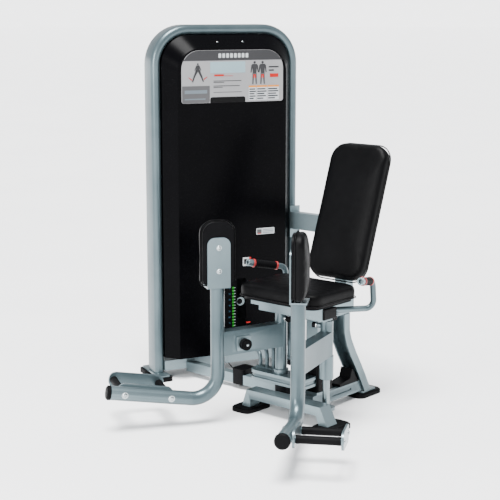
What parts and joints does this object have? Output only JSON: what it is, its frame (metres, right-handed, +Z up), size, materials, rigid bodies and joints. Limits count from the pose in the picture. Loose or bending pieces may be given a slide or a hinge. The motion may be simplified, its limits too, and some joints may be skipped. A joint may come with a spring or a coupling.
{
  "type": "seated hip adductor machine",
  "caption": "Seated hip adductor machine: shrouded weight stack tower, low seat with back pad and hand grips, and two swinging thigh arms with pads and foot rests.",
  "frame": {"origin": "on the floor under the middle of the whole machine", "axes": "+Z up; the user sits facing -Y, so +X is on the left hand of the user and the weight tower stands towards -X"},
  "size_m": [1.6136, 1.4236, 1.606],
  "materials": {
    "silver_paint": "satin metallic blue-grey powder coat",
    "bright_steel": "bright",
    "cast_iron": "black paint",
    "shroud_black": "gloss",
    "black_plastic": "fine texture",
    "vinyl": "black upholstery vinyl, soft sheen",
    "rubber": "matte",
    "label": "satin printed panel"
  },
  "bodies": {
    "frame": {"tower_hoop": "silver_paint", "front_shroud": "shroud_black", "rear_shroud": "shroud_black", "placard": "label", "tower_base": "silver_paint", "tower_foot_front_left": "rubber", "tower_foot_front_right": "rubber", "tower_foot_rear_left": "rubber", "tower_foot_rear_right": "rubber", "guide_rod_left": "bright_steel", "guide_rod_right": "bright_steel", "resting_plates": "cast_iron", "stack_buffer": "rubber", "crossmember": "silver_paint", "lift_cable": "black_plastic", "drive_cable": "black_plastic", "trestle": "silver_paint", "trestle_foot_left": "rubber", "trestle_foot_right": "rubber", "rail": "silver_paint", "rear_leg": "silver_paint", "rear_foot": "rubber", "leg_cover": "black_plastic", "centre_post": "silver_paint", "pivot_base": "silver_paint", "cam_guard": "black_plastic", "guide_tubes": "silver_paint", "floor_bar": "silver_paint", "pulley_cover": "black_plastic", "seat_frame": "silver_paint", "beam_cap": "black_plastic", "bearing_block_left": "black_plastic", "bearing_block_right": "black_plastic", "seat_cushion": "vinyl", "back_cushion": "vinyl", "back_support": "silver_paint", "brace": "silver_paint", "handle_tube_left": "silver_paint", "handle_tube_right": "silver_paint", "handle_grip_left": "rubber", "handle_grip_right": "rubber"},
    "hub_right": {"pivot_shaft_right": "bright_steel", "cam": "cast_iron"},
    "hub_left": {"pivot_shaft_left": "bright_steel"},
    "arm_right_body": {"arm_right": "silver_paint", "thigh_pad_right": "vinyl", "foot_rest_right": "silver_paint", "arm_end_cap_right": "rubber", "bumper_right": "rubber"},
    "arm_left_body": {"arm_left": "silver_paint", "thigh_pad_left": "vinyl", "foot_rest_left": "silver_paint", "arm_end_cap_left": "rubber", "bumper_left": "rubber"},
    "pin_right": {"index_pin_right": "black_plastic"},
    "pin_left": {"index_pin_left": "black_plastic"},
    "lifting_stack": {"lifting_plates": "cast_iron"},
    "selector": {"selector_pin": "bright_steel"},
    "upper_pulley": {"top_pulley": "black_plastic"},
    "lower_pulley": {"base_pulley": "black_plastic"}
  },
  "joints": [
    {"name": "press_right", "type": "hinge", "parent": "frame", "child": "hub_right", "pos_m": [0.07414, -0.00956, 0.26], "axis": [0, 0, 1], "range_deg": [0, 28]},
    {"name": "press_left", "type": "hinge", "parent": "frame", "child": "hub_left", "pos_m": [0.31614, -0.00956, 0.26], "axis": [0, 0, -1], "range_deg": [0, 28]},
    {"name": "start_right", "type": "hinge", "parent": "hub_right", "child": "arm_right_body", "pos_m": [0.07414, -0.00956, 0.3], "axis": [0, 0, -1], "range_deg": [0, 24]},
    {"name": "start_left", "type": "hinge", "parent": "hub_left", "child": "arm_left_body", "pos_m": [0.31614, -0.00956, 0.3], "axis": [0, 0, 1], "range_deg": [0, 24]},
    {"name": "index_pin_right_pull", "type": "slide", "parent": "arm_right_body", "child": "pin_right", "axis": [0.9578, -0.2874, 0], "range_m": [0, 0.012], "stiffness_N_per_m": 400, "springref_m": -0.004},
    {"name": "index_pin_left_pull", "type": "slide", "parent": "arm_left_body", "child": "pin_left", "axis": [-0.9578, -0.2874, 0], "range_m": [0, 0.012], "stiffness_N_per_m": 400, "springref_m": -0.004},
    {"name": "stack_lift", "type": "slide", "parent": "frame", "child": "lifting_stack", "axis": [0, 0, 1], "range_m": [0, 0.081], "deforming": ["lift_cable"]},
    {"name": "selector_pin_pull", "type": "slide", "parent": "lifting_stack", "child": "selector", "axis": [0.9178, -0.3971, 0], "range_m": [0, 0.07]},
    {"name": "top_pulley_turn", "type": "hinge", "parent": "frame", "child": "upper_pulley", "pos_m": [-0.5754, 0.37401, 1.48], "axis": [-0.3971, -0.9178, 0], "range_deg": [0, 123]},
    {"name": "base_pulley_turn", "type": "hinge", "parent": "frame", "child": "lower_pulley", "pos_m": [-0.59361, 0.37718, 0.046], "axis": [-0.5862, -0.8102, 0], "range_deg": [0, 230]}
  ],
  "couplings": [
    {"joint": "press_left", "follows": "press_right", "ratio": 1},
    {"joint": "stack_lift", "follows": "press_right", "m_per_rad": 0.1637},
    {"joint": "top_pulley_turn", "follows": "press_right", "ratio": 4.3654},
    {"joint": "base_pulley_turn", "follows": "press_right", "ratio": 8.1851}
  ]
}
